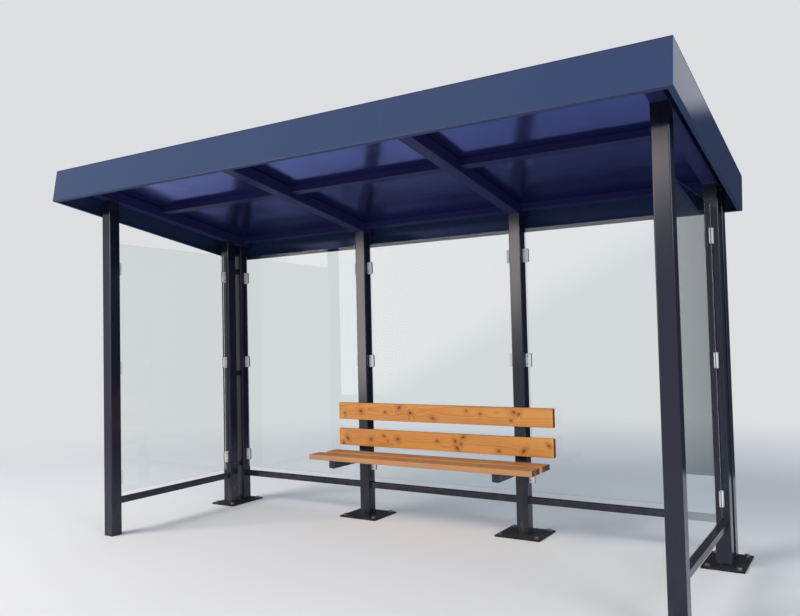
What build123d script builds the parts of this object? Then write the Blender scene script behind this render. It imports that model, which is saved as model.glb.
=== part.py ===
from build123d import *
from math import radians, tan, cos
import os

# Bus shelter: welded square-tube frame, three glazed bays behind, one glazed side panel at
# each end, a boxed sheet-metal roof that falls to the rear and a two-board bench with a back.
# Millimetres, +Z up. X runs along the shelter and -Y is the open front. The origin is on the
# ground, at the middle of the centre line of the rear posts.

# Frame
post = 80
post_wall = 3
post_corner = 6
bay = 1215
row_gap = 1243
side_gap = 60
rail = 40
rail_wall = 2
rail_corner = 4
rail_bottom = 200
plate_t = 10
wall_plate_x = 300
wall_plate_y = 280
corner_plate_x = 220
corner_plate_margin = 60
anchor_r = 9
anchor_edge = 30

# Glass and its clamps
glass_t = 8
glass_bottom = 272
glass_top = 1957
glass_gap = 18
rear_glass_y = 10
clamp_reach = 34
clamp_h = 85
clamp_t = 25
clamp_corner = 6
clamp_edge = 1.5
clamp_lip = 3
clamp_play = 0.4
gasket_t = 2
clamp_heights = (370, 1110, 1785)
spacer_heights = (300, 1020, 1837)
spacer_size = 40
spacer_wall = 3

# Roof
slope = 9.0
soffit_z = 2159
front_overhang = 310
rear_overhang = 45
side_overhang = 86
fascia_h = 206
fascia_t = 2
fascia_bend = 2
fascia_lip = 25
seam_x = 25
seam_gap = 4
splice_w = 60
rafter_base = 90
rafter_h = 70
rafter_wall = 3
rafter_corner = 5
purlin_w = 60
purlin_h = 40
purlin_wall = 2
mid_purlin = 410
sheet_t = 1.5
sheet_joint = 2
cover_fold = 25
cap_t = 1.5
cap_w = 12
cap_setback = 80

# Bench
board_w = 120
board_t = 35
board_edge = 3
seat_top = 483
seat_reach = 391
seat_joint = 40
bench_left = 148
bench_right = 198
rear_board_inset = 25
back_low = 505
back_gap = 66
arm_size = 50
arm_wall = 3
arm_corner = 5
arm_reach = 378

# Places worked out from the sizes above
rear_y = -post / 2
front_y = rear_y - row_gap
side_post_y = rear_y - side_gap - post
seat_front = rear_y - seat_reach
arm_front = rear_y - arm_reach
outer_x = 1.5 * bay
inner_x = 0.5 * bay
post_lines = (-outer_x, -inner_x, inner_x, outer_x)
panel_start = front_y + post
panel_span = side_post_y - panel_start
post_blank = soffit_z + fascia_h
roof_half = outer_x + post / 2 + side_overhang
roof_plane = Plane(origin=(0, front_y, soffit_z), x_dir=(1, 0, 0), z_dir=(0, tan(radians(slope)), 1))
rafter_underside = roof_plane.offset(rafter_base)
along = 1 / cos(radians(slope))
roof_front = -front_overhang * along
roof_rear = (row_gap + post + rear_overhang) * along
purlin_base = rafter_base + rafter_h - purlin_h
sheet_base = rafter_base + rafter_h
batten_base = sheet_base + sheet_t
rafter_span = roof_rear - roof_front - 2 * fascia_t
mid_roof = (roof_front + roof_rear) / 2
purlin_lines = (roof_front + fascia_t, mid_purlin, row_gap * along)

os.makedirs("parts", exist_ok=True)

# Tube sections: posts, bottom rails, rafters and purlins
with BuildSketch() as post_section:
    RectangleRounded(post, post, post_corner)
    RectangleRounded(post - 2 * post_wall, post - 2 * post_wall, post_corner - post_wall, mode=Mode.SUBTRACT)

with BuildSketch() as rail_section:
    RectangleRounded(rail, rail, rail_corner)
    Rectangle(rail - 2 * rail_wall, rail - 2 * rail_wall, mode=Mode.SUBTRACT)

with BuildSketch() as rafter_section:
    RectangleRounded(post, rafter_h, rafter_corner)
    Rectangle(post - 2 * rafter_wall, rafter_h - 2 * rafter_wall, mode=Mode.SUBTRACT)

with BuildSketch() as purlin_section:
    Rectangle(purlin_w, purlin_h)
    Rectangle(purlin_w - 2 * purlin_wall, purlin_h - 2 * purlin_wall, mode=Mode.SUBTRACT)

# Front posts: each is cut to the slope of the rafter that it carries
with BuildPart() as front_post_left:
    with BuildSketch():
        with Locations((-outer_x, front_y + post / 2)):
            add(post_section.sketch)
    extrude(amount=post_blank)
    split(bisect_by=rafter_underside, keep=Keep.BOTTOM)

with BuildPart() as front_post_right:
    mirror(front_post_left.part, about=Plane.YZ)

# Rear posts of the side frames
with BuildPart() as side_post_left:
    with BuildSketch(Plane.XY.offset(plate_t)):
        with Locations((-outer_x, side_post_y + post / 2)):
            add(post_section.sketch)
    extrude(amount=post_blank)
    split(bisect_by=rafter_underside, keep=Keep.BOTTOM)

with BuildPart() as side_post_right:
    mirror(side_post_left.part, about=Plane.YZ)

# Corner posts of the rear wall
with BuildPart() as corner_post_left:
    with BuildSketch(Plane.XY.offset(plate_t)):
        with Locations((-outer_x, 0)):
            add(post_section.sketch)
    extrude(amount=post_blank)
    split(bisect_by=rafter_underside, keep=Keep.BOTTOM)

with BuildPart() as corner_post_right:
    mirror(corner_post_left.part, about=Plane.YZ)

# Posts between the rear bays, which also carry the bench
with BuildPart() as wall_post_left:
    with BuildSketch(Plane.XY.offset(plate_t)):
        with Locations((-inner_x, 0)):
            add(post_section.sketch)
    extrude(amount=post_blank)
    split(bisect_by=rafter_underside, keep=Keep.BOTTOM)

with BuildPart() as wall_post_right:
    mirror(wall_post_left.part, about=Plane.YZ)

# Base plates with anchor holes
with BuildPart() as wall_base_left:
    with BuildSketch():
        with Locations((-inner_x, 0)):
            Rectangle(wall_plate_x, wall_plate_y)
            with GridLocations(wall_plate_x - 2 * anchor_edge, wall_plate_y - 2 * anchor_edge, 2, 2):
                Circle(anchor_r, mode=Mode.SUBTRACT)
    extrude(amount=plate_t)

with BuildPart() as wall_base_right:
    mirror(wall_base_left.part, about=Plane.YZ)

corner_plate_y = 2 * post + side_gap + 2 * corner_plate_margin
corner_plate_mid = (side_post_y + rear_y + post) / 2
with BuildPart() as corner_base_left:
    with BuildSketch():
        with Locations((-outer_x, corner_plate_mid)):
            Rectangle(corner_plate_x, corner_plate_y)
            with GridLocations(corner_plate_x - 2 * anchor_edge, corner_plate_y - 2 * anchor_edge, 2, 2):
                Circle(anchor_r, mode=Mode.SUBTRACT)
    extrude(amount=plate_t)

with BuildPart() as corner_base_right:
    mirror(corner_base_left.part, about=Plane.YZ)

# Spacers that tie each side frame to the rear wall
spacer_places = [(x, height) for x in (-outer_x, outer_x) for height in spacer_heights]
with BuildPart() as corner_spacers:
    with BuildSketch(Plane.XZ.offset(-(side_post_y + post))):
        with Locations(*spacer_places):
            Rectangle(spacer_size, spacer_size)
            Rectangle(spacer_size - 2 * spacer_wall, spacer_size - 2 * spacer_wall, mode=Mode.SUBTRACT)
    extrude(amount=-side_gap)

# Bottom rails
rail_mid = rail_bottom + rail / 2
with BuildPart() as side_rail_left:
    with BuildSketch(Plane.XZ.offset(-panel_start)):
        with Locations((-outer_x, rail_mid)):
            add(rail_section.sketch)
    extrude(amount=-panel_span)

with BuildPart() as side_rail_right:
    mirror(side_rail_left.part, about=Plane.YZ)

with BuildPart() as rear_rails:
    for line in post_lines[:3]:
        with BuildSketch(Plane.YZ.offset(line + post / 2)):
            with Locations((0, rail_mid)):
                add(rail_section.sketch)
        extrude(amount=bay - post)

# Toughened glass panes
pane_mid = (glass_bottom + glass_top) / 2
pane_h = glass_top - glass_bottom
with BuildPart() as side_glass_left:
    with BuildSketch(Plane.YZ.offset(-outer_x - glass_t / 2)):
        with Locations((panel_start + panel_span / 2, pane_mid)):
            Rectangle(panel_span - 2 * glass_gap, pane_h)
    extrude(amount=glass_t)

with BuildPart() as side_glass_right:
    mirror(side_glass_left.part, about=Plane.YZ)

with BuildPart() as rear_glass_mid:
    with BuildSketch(Plane.XZ.offset(glass_t / 2 - rear_glass_y)):
        with Locations((0, pane_mid)):
            Rectangle(bay - post - 2 * glass_gap, pane_h)
    extrude(amount=-glass_t)

with BuildPart() as rear_glass_left:
    with BuildSketch(Plane.XZ.offset(glass_t / 2 - rear_glass_y)):
        with Locations((-bay, pane_mid)):
            Rectangle(bay - post - 2 * glass_gap, pane_h)
    extrude(amount=-glass_t)

with BuildPart() as rear_glass_right:
    mirror(rear_glass_left.part, about=Plane.YZ)

# One cast clamp, drawn along X from the post: the corners and edges of its nose are bevelled,
# and the slot for the glass widens between its lips into a seat for the two gaskets
slot_t = glass_t + 2 * clamp_play
slot_depth = clamp_reach - glass_gap + clamp_play
with BuildPart() as glass_clamp:
    with BuildSketch(Plane.XZ.offset(-clamp_t / 2)):
        with Locations((clamp_reach / 2, 0)):
            Rectangle(clamp_reach, clamp_h)
        chamfer(vertices().group_by(Axis.X)[-1], clamp_corner)
    extrude(amount=clamp_t)
    free_edges = faces().filter_by(Axis.Y).edges().sort_by(Axis.X)[2:]
    chamfer(free_edges, clamp_edge)
    with BuildSketch(Plane.XY.offset(-clamp_h / 2)):
        with Locations((clamp_reach - slot_depth / 2, 0)):
            Rectangle(slot_depth, slot_t)
            Rectangle(slot_depth - 2 * clamp_lip, slot_t + 2 * gasket_t)
    extrude(amount=clamp_h, mode=Mode.SUBTRACT)

# The clamps on the two upright edges of each pane
with BuildPart() as side_clamps_left:
    for height in clamp_heights:
        with Locations(Location((-outer_x, panel_start, height), (0, 0, 90)),
                       Location((-outer_x, side_post_y, height), (0, 0, -90))):
            add(glass_clamp.part)

with BuildPart() as side_clamps_right:
    mirror(side_clamps_left.part, about=Plane.YZ)

with BuildPart() as rear_clamps:
    for line in post_lines[:3]:
        for height in clamp_heights:
            with Locations(Location((line + post / 2, rear_glass_y, height)),
                           Location((line + bay - post / 2, rear_glass_y, height), (0, 0, 180))):
                add(glass_clamp.part)

# Rafters over the post lines, from the front fascia to the rear one
rafter_plane = Plane(origin=roof_plane.from_local_coords(Vector(0, roof_front + fascia_t, rafter_base)),
                     x_dir=(1, 0, 0), z_dir=-roof_plane.y_dir)
with BuildPart() as rafter_outer_left:
    with BuildSketch(rafter_plane):
        with Locations((-outer_x, rafter_h / 2)):
            add(rafter_section.sketch)
    extrude(amount=-rafter_span)

with BuildPart() as rafter_outer_right:
    mirror(rafter_outer_left.part, about=Plane.YZ)

with BuildPart() as rafter_inner_left:
    with BuildSketch(rafter_plane):
        with Locations((-inner_x, rafter_h / 2)):
            add(rafter_section.sketch)
    extrude(amount=-rafter_span)

with BuildPart() as rafter_inner_right:
    mirror(rafter_inner_left.part, about=Plane.YZ)

# Purlins between the rafters, and the stubs that carry the side fascias
purlin_places = [(y + purlin_w / 2, purlin_base + purlin_h / 2) for y in purlin_lines]
with BuildPart() as roof_purlins:
    for line in post_lines[:3]:
        with BuildSketch(Plane(origin=(line + post / 2, front_y, soffit_z), x_dir=roof_plane.y_dir,
                               z_dir=(1, 0, 0))):
            with Locations(*purlin_places):
                add(purlin_section.sketch)
        extrude(amount=bay - post)

with BuildPart() as side_stubs:
    for start in (-roof_half + fascia_t, outer_x + post / 2):
        with BuildSketch(Plane(origin=(start, front_y, soffit_z), x_dir=roof_plane.y_dir, z_dir=(1, 0, 0))):
            with Locations(*purlin_places):
                add(purlin_section.sketch)
        extrude(amount=side_overhang - fascia_t)

# Ceiling sheets on the rafters, one for each bay
inner_half = roof_half - fascia_t
outer_sheet_w = inner_half - inner_x - sheet_joint / 2
with BuildPart() as ceiling_sheets:
    with BuildSketch(roof_plane.offset(sheet_base)):
        with Locations((0, mid_roof)):
            Rectangle(2 * inner_x - sheet_joint, rafter_span)
        with Locations((-inner_half + outer_sheet_w / 2, mid_roof), (inner_half - outer_sheet_w / 2, mid_roof)):
            Rectangle(outer_sheet_w, rafter_span)
    extrude(amount=sheet_t)

# Battens between the ceiling and the cover, clear of the lips of the fascia
batten_h = fascia_h - batten_base
batten_half = roof_half - fascia_lip
batten_lines = (roof_front + fascia_lip, mid_purlin, roof_rear - fascia_lip - purlin_w)
with BuildPart() as roof_battens:
    with BuildSketch(Plane(origin=(-batten_half, front_y, soffit_z), x_dir=roof_plane.y_dir, z_dir=(1, 0, 0))):
        with Locations(*[(y + purlin_w / 2, batten_base + batten_h / 2) for y in batten_lines]):
            Rectangle(purlin_w, batten_h)
            Rectangle(purlin_w - 2 * purlin_wall, batten_h - 2 * purlin_wall, mode=Mode.SUBTRACT)
    extrude(amount=2 * batten_half)

# Roof cover in three sheets, with edges turned up over the inner rafters behind the front edge
outer_cover_w = roof_half - inner_x - sheet_joint / 2
fold_run = roof_rear - roof_front - cap_setback
with BuildPart() as roof_cover:
    with BuildSketch(roof_plane.offset(fascia_h)):
        with Locations((0, mid_roof)):
            Rectangle(2 * inner_x - sheet_joint, roof_rear - roof_front)
        with Locations((-roof_half + outer_cover_w / 2, mid_roof), (roof_half - outer_cover_w / 2, mid_roof)):
            Rectangle(outer_cover_w, roof_rear - roof_front)
    extrude(amount=sheet_t)
    with BuildSketch(roof_plane.offset(fascia_h)):
        for line in (-inner_x, inner_x):
            with Locations((line - (sheet_joint + sheet_t) / 2, roof_rear),
                           (line + (sheet_joint + sheet_t) / 2, roof_rear)):
                Rectangle(sheet_t, fold_run, align=(Align.CENTER, Align.MAX))
    extrude(amount=cover_fold)

# Caps over the upturned edges
with BuildPart() as cover_caps:
    with BuildSketch(Plane(origin=roof_plane.from_local_coords(Vector(0, roof_rear, fascia_h + sheet_t)),
                           x_dir=(1, 0, 0), z_dir=-roof_plane.y_dir)):
        with Locations((-inner_x, 0), (inner_x, 0)):
            Rectangle(cap_w, cover_fold - sheet_t + cap_t, align=(Align.CENTER, Align.MIN))
            Rectangle(cap_w - 2 * cap_t, cover_fold - sheet_t, align=(Align.CENTER, Align.MIN),
                      mode=Mode.SUBTRACT)
    extrude(amount=fold_run)

# Fascia section: sheet folded to a channel, drawn with its web up Y and its lips along X
with BuildSketch() as fascia_section:
    with BuildLine():
        FilletPolyline((fascia_lip, 0), (0, 0), (0, fascia_h), (fascia_lip, fascia_h),
                       radius=fascia_bend + fascia_t)
        offset(amount=fascia_t, side=Side.RIGHT)
    make_face()

# Boxed fascia round the roof, mitred at its four corners
front_left_corner = roof_plane.from_local_coords(Vector(-roof_half, roof_front, 0))
front_right_corner = roof_plane.from_local_coords(Vector(roof_half, roof_front, 0))
rear_left_corner = roof_plane.from_local_coords(Vector(-roof_half, roof_rear, 0))
rear_right_corner = roof_plane.from_local_coords(Vector(roof_half, roof_rear, 0))
with BuildPart() as fascia_front:
    with BuildSketch(Plane(origin=front_left_corner, x_dir=roof_plane.y_dir, z_dir=(1, 0, 0))):
        add(fascia_section.sketch)
    extrude(amount=2 * roof_half)
    split(bisect_by=Plane(origin=front_left_corner, z_dir=roof_plane.x_dir - roof_plane.y_dir))
    split(bisect_by=Plane(origin=front_right_corner, z_dir=-roof_plane.x_dir - roof_plane.y_dir))

with BuildPart() as fascia_left:
    with BuildSketch(Plane(origin=rear_left_corner, x_dir=roof_plane.x_dir, z_dir=-roof_plane.y_dir)):
        add(fascia_section.sketch)
    extrude(amount=roof_rear - roof_front)
    split(bisect_by=Plane(origin=front_left_corner, z_dir=roof_plane.y_dir - roof_plane.x_dir))
    split(bisect_by=Plane(origin=rear_left_corner, z_dir=-roof_plane.x_dir - roof_plane.y_dir))

with BuildPart() as fascia_right:
    mirror(fascia_left.part, about=Plane.YZ)

# Rear fascia in two lengths: a splice plate on the left one backs the seam below the ceiling
left_end = roof_plane.from_local_coords(Vector(seam_x - seam_gap / 2, roof_rear, 0))
splice_base = 2 * (fascia_t + fascia_bend)
with BuildPart() as fascia_rear_left:
    with BuildSketch(Plane(origin=left_end, x_dir=-roof_plane.y_dir, z_dir=(-1, 0, 0))):
        add(fascia_section.sketch)
    extrude(amount=roof_half + seam_x - seam_gap / 2)
    split(bisect_by=Plane(origin=rear_left_corner, z_dir=roof_plane.x_dir + roof_plane.y_dir))
    with BuildSketch(roof_plane.offset(splice_base)):
        with Locations((seam_x, roof_rear - fascia_t)):
            Rectangle(splice_w, fascia_t, align=(Align.CENTER, Align.MAX))
    extrude(amount=sheet_base - fascia_t - splice_base)

with BuildPart() as fascia_rear_right:
    with BuildSketch(Plane(origin=rear_right_corner, x_dir=-roof_plane.y_dir, z_dir=(-1, 0, 0))):
        add(fascia_section.sketch)
    extrude(amount=roof_half - seam_x - seam_gap / 2)
    split(bisect_by=Plane(origin=rear_right_corner, z_dir=roof_plane.y_dir - roof_plane.x_dir))

# Bench: arms welded to the wall posts, two seat boards and two back boards
seat_bottom = seat_top - board_t
arm_mid = seat_bottom - arm_size / 2
arm_inner = arm_size - 2 * arm_wall
with BuildPart() as bench_arm_left:
    with BuildSketch(Plane.XZ.offset(-arm_front)):
        with Locations((-inner_x, arm_mid)):
            RectangleRounded(arm_size, arm_size, arm_corner)
    extrude(amount=-(rear_y - arm_front))
    with BuildSketch(Plane.XZ.offset(-(arm_front + arm_wall))):
        with Locations((-inner_x, arm_mid)):
            Rectangle(arm_inner, arm_inner)
    extrude(amount=-(rear_y - arm_front - arm_wall), mode=Mode.SUBTRACT)

with BuildPart() as bench_arm_right:
    mirror(bench_arm_left.part, about=Plane.YZ)

bench_min = -inner_x - post / 2 - bench_left
bench_max = inner_x + post / 2 + bench_right
with BuildPart() as seat_board_front:
    with BuildSketch(Plane.YZ.offset(bench_min)):
        with Locations((seat_front + board_w / 2, seat_top - board_t / 2)):
            RectangleRounded(board_w, board_t, board_edge)
    extrude(amount=bench_max - bench_min)

with BuildPart() as seat_board_rear:
    with BuildSketch(Plane.YZ.offset(bench_min + rear_board_inset)):
        with Locations((seat_front + 1.5 * board_w + seat_joint, seat_top - board_t / 2)):
            RectangleRounded(board_w, board_t, board_edge)
    extrude(amount=bench_max - bench_min - rear_board_inset)

with BuildPart() as back_board_lower:
    with BuildSketch(Plane.YZ.offset(bench_min)):
        with Locations((rear_y - board_t / 2, back_low + board_w / 2)):
            RectangleRounded(board_t, board_w, board_edge)
    extrude(amount=bench_max - bench_min)

with BuildPart() as back_board_upper:
    with BuildSketch(Plane.YZ.offset(bench_min)):
        with Locations((rear_y - board_t / 2, back_low + 1.5 * board_w + back_gap)):
            RectangleRounded(board_t, board_w, board_edge)
    extrude(amount=bench_max - bench_min)

pieces = {
    "front_post_left": front_post_left,
    "front_post_right": front_post_right,
    "side_post_left": side_post_left,
    "side_post_right": side_post_right,
    "corner_post_left": corner_post_left,
    "corner_post_right": corner_post_right,
    "wall_post_left": wall_post_left,
    "wall_post_right": wall_post_right,
    "wall_base_left": wall_base_left,
    "wall_base_right": wall_base_right,
    "corner_base_left": corner_base_left,
    "corner_base_right": corner_base_right,
    "corner_spacers": corner_spacers,
    "side_rail_left": side_rail_left,
    "side_rail_right": side_rail_right,
    "rear_rails": rear_rails,
    "side_glass_left": side_glass_left,
    "side_glass_right": side_glass_right,
    "rear_glass_left": rear_glass_left,
    "rear_glass_mid": rear_glass_mid,
    "rear_glass_right": rear_glass_right,
    "side_clamps_left": side_clamps_left,
    "side_clamps_right": side_clamps_right,
    "rear_clamps": rear_clamps,
    "rafter_outer_left": rafter_outer_left,
    "rafter_outer_right": rafter_outer_right,
    "rafter_inner_left": rafter_inner_left,
    "rafter_inner_right": rafter_inner_right,
    "roof_purlins": roof_purlins,
    "side_stubs": side_stubs,
    "ceiling_sheets": ceiling_sheets,
    "roof_battens": roof_battens,
    "roof_cover": roof_cover,
    "cover_caps": cover_caps,
    "fascia_front": fascia_front,
    "fascia_left": fascia_left,
    "fascia_right": fascia_right,
    "fascia_rear_left": fascia_rear_left,
    "fascia_rear_right": fascia_rear_right,
    "bench_arm_left": bench_arm_left,
    "bench_arm_right": bench_arm_right,
    "seat_board_front": seat_board_front,
    "seat_board_rear": seat_board_rear,
    "back_board_lower": back_board_lower,
    "back_board_upper": back_board_upper,
}
for name, piece in pieces.items():
    piece.part.label = name
    export_step(piece.part, f"parts/{name}.step")
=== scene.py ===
import math
import random
import bmesh
import bpy
from mathutils import Matrix, Vector


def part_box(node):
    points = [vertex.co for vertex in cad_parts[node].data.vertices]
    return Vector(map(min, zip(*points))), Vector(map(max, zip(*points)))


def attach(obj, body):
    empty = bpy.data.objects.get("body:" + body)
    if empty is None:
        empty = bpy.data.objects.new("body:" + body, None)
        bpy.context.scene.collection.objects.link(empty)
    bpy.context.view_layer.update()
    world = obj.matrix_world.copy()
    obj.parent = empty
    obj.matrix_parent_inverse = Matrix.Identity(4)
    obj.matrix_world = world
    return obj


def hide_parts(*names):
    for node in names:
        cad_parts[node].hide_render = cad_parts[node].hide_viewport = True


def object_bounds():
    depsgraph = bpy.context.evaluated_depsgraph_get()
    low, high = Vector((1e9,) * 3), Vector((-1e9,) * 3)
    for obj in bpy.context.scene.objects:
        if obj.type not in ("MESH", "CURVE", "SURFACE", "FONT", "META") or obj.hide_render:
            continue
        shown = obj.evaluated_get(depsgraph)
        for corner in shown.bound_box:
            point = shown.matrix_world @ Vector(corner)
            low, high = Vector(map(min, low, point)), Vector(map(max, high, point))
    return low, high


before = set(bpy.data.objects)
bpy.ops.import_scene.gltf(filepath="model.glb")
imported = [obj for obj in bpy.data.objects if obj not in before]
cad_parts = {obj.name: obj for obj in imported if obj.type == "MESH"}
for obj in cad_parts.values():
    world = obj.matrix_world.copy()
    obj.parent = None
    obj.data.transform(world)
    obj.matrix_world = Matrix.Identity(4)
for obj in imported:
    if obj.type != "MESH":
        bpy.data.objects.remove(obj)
cad_box = [list(corner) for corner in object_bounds()]

# Base plates
# Laser-cut steel plates, 10 mm thick, welded under the posts of the rear wall and of the side
# frames. They are powder coated with the frame, and each is held by four anchors in the ground.


def place(tree, kind, sockets, **settings):
    """Adds a node, sets it up, and fills or links its inputs by name or by order."""
    made = tree.nodes.new(kind)
    for name, value in settings.items():
        setattr(made, name, value)
    pairs = sockets.items() if isinstance(sockets, dict) else enumerate(sockets)
    for key, value in pairs:
        if isinstance(value, bpy.types.NodeSocket):
            tree.links.new(value, made.inputs[key])
        else:
            made.inputs[key].default_value = value
    return made


def calc(tree, operation, *values):
    return place(tree, "ShaderNodeMath", values, operation=operation).outputs[0]


def fade(tree, value, start, end, low=0.0, high=1.0):
    """A smooth step from low to high, as value goes from start to end."""
    made = place(tree, "ShaderNodeMapRange", [value, start, end, low, high], interpolation_type="SMOOTHSTEP")
    return made.outputs[0]


def tint(tree, share, first, second):
    made = place(tree, "ShaderNodeMix", {0: share, 6: first, 7: second}, data_type="RGBA")
    return made.outputs[2]


def noise(tree, points, scale, detail=2.0, stretch=(1, 1, 1)):
    scaled = place(tree, "ShaderNodeVectorMath", [points, stretch], operation="MULTIPLY").outputs[0]
    return place(tree, "ShaderNodeTexNoise", {"Vector": scaled, "Scale": scale, "Detail": detail}).outputs[0]


def here(tree):
    """The place on the piece, in metres."""
    return place(tree, "ShaderNodeTexCoord", {}).outputs["Object"]


def dot(tree, first, second):
    made = place(tree, "ShaderNodeVectorMath", [first, second], operation="DOT_PRODUCT")
    return made.outputs["Value"]


def group(name, inputs, outputs):
    """A shader node group with named inputs and outputs: the tree, its input and its output sockets."""
    tree = bpy.data.node_groups.new(name, "ShaderNodeTree")
    for label, (kind, value) in inputs.items():
        socket = tree.interface.new_socket(label, in_out="INPUT", socket_type="NodeSocket" + kind)
        socket.default_value = value
    for label, kind in outputs.items():
        tree.interface.new_socket(label, in_out="OUTPUT", socket_type="NodeSocket" + kind)
    return tree, tree.nodes.new("NodeGroupInput").outputs, tree.nodes.new("NodeGroupOutput").inputs


def fill_outputs(tree, sockets, values):
    for label, value in values.items():
        tree.links.new(value, sockets[label])


def powder_coat_group():
    """Powder coat on steel: orange peel, rounded and rubbed edges, grime near the ground, dust on top."""
    tree, given, made = group(
        "powder coat",
        {"Coat": ("Color", (0.02, 0.02, 0.04, 1)), "Rubbed": ("Color", (0.1, 0.1, 0.12, 1)),
         "Dust": ("Color", (0.3, 0.28, 0.25, 1)), "Gloss Roughness": ("Float", 0.3), "Edge": ("Float", 0.002),
         "Grime Height": ("Float", 0.25), "Grime": ("Float", 0.5), "Mottle": ("Float", 0.2)},
        {"Color": "Color", "Roughness": "Float", "Height": "Float", "Normal": "Vector"})
    spot = here(tree)
    facing = place(tree, "ShaderNodeNewGeometry", {}).outputs["True Normal"]
    rounded = place(tree, "ShaderNodeBevel", {"Radius": given["Edge"]}, samples=6).outputs[0]
    edge = fade(tree, dot(tree, rounded, facing), 0.985, 0.8)
    patches = noise(tree, spot, 2.2, 5.0)
    specks = noise(tree, spot, 60.0, 3.0)
    rubbed = calc(tree, "MULTIPLY", edge, fade(tree, specks, 0.45, 0.7))
    axes = place(tree, "ShaderNodeSeparateXYZ", [spot]).outputs
    up = place(tree, "ShaderNodeSeparateXYZ", [facing]).outputs["Z"]
    splash = noise(tree, spot, 14.0, 6.0, (1, 1, 0.35))
    low = fade(tree, axes["Z"], given["Grime Height"], 0.0)
    low = calc(tree, "MULTIPLY", low, fade(tree, splash, 0.35, 0.75))
    settled = calc(tree, "MULTIPLY", fade(tree, up, 0.6, 0.95), fade(tree, patches, 0.3, 0.75, 0.15, 0.6))
    dust = calc(tree, "MULTIPLY", calc(tree, "MAXIMUM", low, settled), given["Grime"])
    streaks = noise(tree, spot, 7.0, 4.0, (6, 6, 0.4))
    mottle = calc(tree, "ADD", calc(tree, "MULTIPLY", patches, 0.6), calc(tree, "MULTIPLY", streaks, 0.4))
    shade = calc(tree, "MULTIPLY_ADD", calc(tree, "SUBTRACT", mottle, 0.5), given["Mottle"], 1.0)
    coat = place(tree, "ShaderNodeVectorMath", {0: given["Coat"], 3: shade}, operation="SCALE").outputs[0]
    colour = tint(tree, rubbed, coat, given["Rubbed"])
    colour = tint(tree, dust, colour, given["Dust"])
    rough = calc(tree, "MULTIPLY_ADD", dust, 0.4, given["Gloss Roughness"])
    rough = calc(tree, "MULTIPLY_ADD", calc(tree, "SUBTRACT", patches, 0.5), 0.12, rough)
    peel = noise(tree, spot, 420.0, 1.0)
    fill_outputs(tree, made, {"Color": colour, "Roughness": rough, "Height": peel, "Normal": rounded})
    return tree


powder_coat = powder_coat_group()


def dress(tree, effect, principled, strength, distance):
    """Feeds a group's colour, roughness, height and, where it has one, normal to a Principled shader."""
    bump = place(tree, "ShaderNodeBump", {"Strength": strength, "Distance": distance,
                                          "Height": effect.outputs["Height"]})
    if "Normal" in effect.outputs:
        tree.links.new(effect.outputs["Normal"], bump.inputs["Normal"])
    tree.links.new(effect.outputs["Color"], principled.inputs["Base Color"])
    tree.links.new(effect.outputs["Roughness"], principled.inputs["Roughness"])
    tree.links.new(bump.outputs[0], principled.inputs["Normal"])


def material(name):
    made = bpy.data.materials.new(name)
    made.use_nodes = True
    return made, made.node_tree, made.node_tree.nodes["Principled BSDF"]


def coated(name, specular=0.5, peel=0.12, **values):
    """A powder-coated finish with its own colour and wear."""
    made, tree, principled = material(name)
    effect = place(tree, "ShaderNodeGroup", {}, node_tree=powder_coat)
    for label, value in values.items():
        effect.inputs[label.replace("_", " ")].default_value = value
    principled.inputs["Specular IOR Level"].default_value = specular
    dress(tree, effect, principled, peel, 0.0004)
    return made


def finish_nodes(made, *names):
    for name in names:
        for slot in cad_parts[name].material_slots:
            slot.material = made


navy = (0.008, 0.0095, 0.021, 1)
rubbed_navy = (0.035, 0.038, 0.055, 1)
street_dust = (0.08, 0.067, 0.055, 1)
frame_coat = coated("navy powder coat", specular=0.45, Coat=navy, Rubbed=rubbed_navy, Dust=street_dust,
                    Gloss_Roughness=0.16, Edge=0.003, Grime_Height=0.45, Grime=0.4, Mottle=0.35)
trodden_coat = coated("trodden navy powder coat", specular=0.2, Coat=navy, Rubbed=rubbed_navy,
                      Dust=street_dust, Gloss_Roughness=0.55, Edge=0.003, Grime_Height=0.28, Grime=0.6,
                      Mottle=0.5)
base_nodes = ["wall_base_left", "wall_base_right", "corner_base_left", "corner_base_right"]
finish_nodes(trodden_coat, *base_nodes)


def turned(name, rings, sides=24):
    """A closed turned part from rings of radius, height and flat, bottom up; a flat cuts a hexagon."""
    shape = bmesh.new()
    loops = []
    for radius, height, flat in rings:
        loop = []
        for step in range(sides):
            angle = 2 * math.pi * step / sides
            off = (math.degrees(angle) + 30) % 60 - 30
            reach = radius if flat is None else min(radius, flat / math.cos(math.radians(off)))
            loop.append(shape.verts.new((reach * math.cos(angle), reach * math.sin(angle), height)))
        loops.append(loop)
    for lower, upper in zip(loops, loops[1:]):
        for step in range(sides):
            after = (step + 1) % sides
            shape.faces.new((lower[step], lower[after], upper[after], upper[step]))
    shape.faces.new(loops[-1])
    shape.faces.new(list(reversed(loops[0])))
    mesh = bpy.data.meshes.new(name)
    shape.to_mesh(mesh)
    shape.free()
    return mesh


def joined(name, *meshes):
    """One mesh from several."""
    shape = bmesh.new()
    for mesh in meshes:
        shape.from_mesh(mesh)
    made = bpy.data.meshes.new(name)
    shape.to_mesh(made)
    shape.free()
    return made


def show(name, mesh):
    made = bpy.data.objects.new(name, mesh)
    bpy.context.scene.collection.objects.link(made)
    return made


def geometry_tree(name, inputs):
    """A geometry node tree with named inputs: the tree, its input sockets and its output node."""
    tree = bpy.data.node_groups.new(name, "GeometryNodeTree")
    tree.interface.new_socket("Geometry", in_out="INPUT", socket_type="NodeSocketGeometry")
    for label, kind in inputs.items():
        tree.interface.new_socket(label, in_out="INPUT", socket_type="NodeSocket" + kind)
    tree.interface.new_socket("Geometry", in_out="OUTPUT", socket_type="NodeSocketGeometry")
    return tree, tree.nodes.new("NodeGroupInput").outputs


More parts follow.
